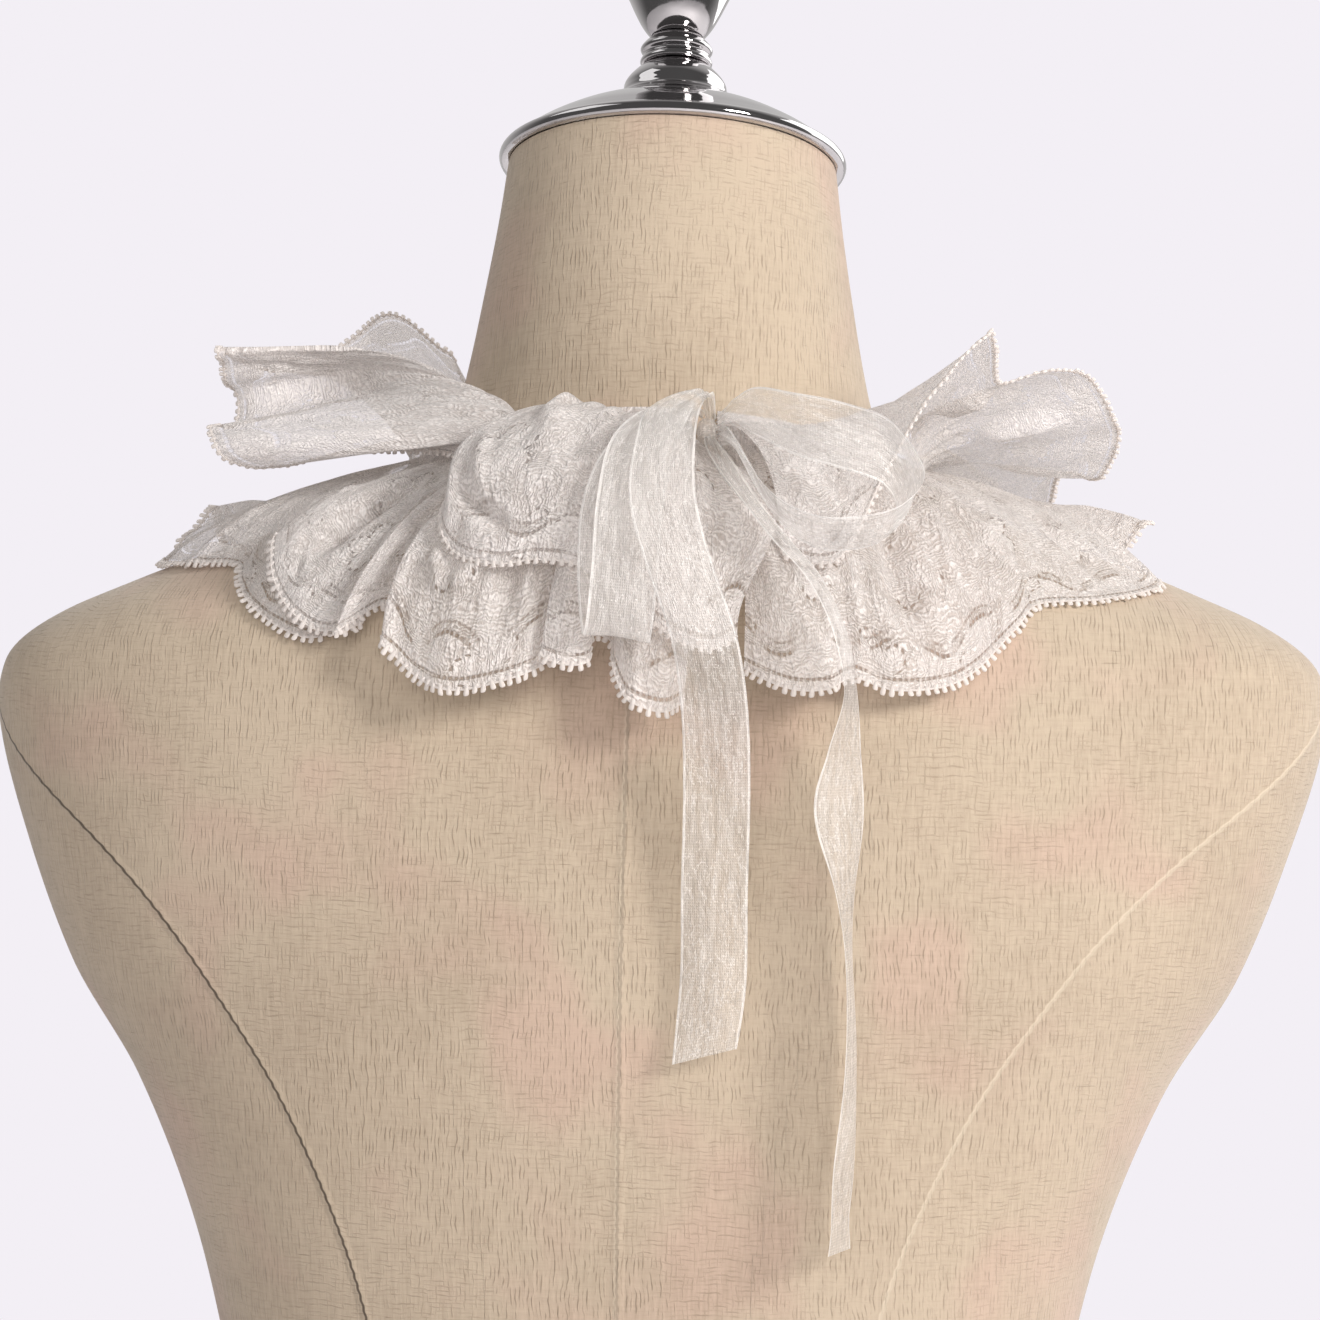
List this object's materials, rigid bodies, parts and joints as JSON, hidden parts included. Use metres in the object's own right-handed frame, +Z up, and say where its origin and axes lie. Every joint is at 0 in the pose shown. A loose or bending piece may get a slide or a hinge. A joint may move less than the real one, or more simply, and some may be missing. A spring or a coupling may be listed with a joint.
{
  "type": "false collar on dress form",
  "caption": "Two-tier gathered lace false collar tied at the back with a ribbon bow, worn on a limbless linen dress form with a metal neck cap.",
  "frame": {"origin": "centre of the dress form's flat base", "axes": "+Z up, -Y the way the form faces, so the bow at the back is on +Y, and +X the form's own left"},
  "size_m": [0.4072, 0.2617, 0.8104],
  "materials": {
    "linen": "natural slubbed linen, plain weave, matt",
    "chrome": "polished, turned",
    "lace": "ivory lace on net with a looped picot edge",
    "organza": "sheer ivory organza ribbon with satin selvedges"
  },
  "bodies": {
    "root": {"dress_form": "linen", "neck_cap": "chrome", "cap_stem": "chrome", "finial": "chrome", "neckband": "lace", "upper_ruffle": "lace", "lower_ruffle": "lace", "bow_knot": "organza", "bow_loop_left": "organza", "bow_loop_right": "organza", "ribbon_tail_long": "organza", "ribbon_tail_side": "organza"}
  },
  "joints": []
}
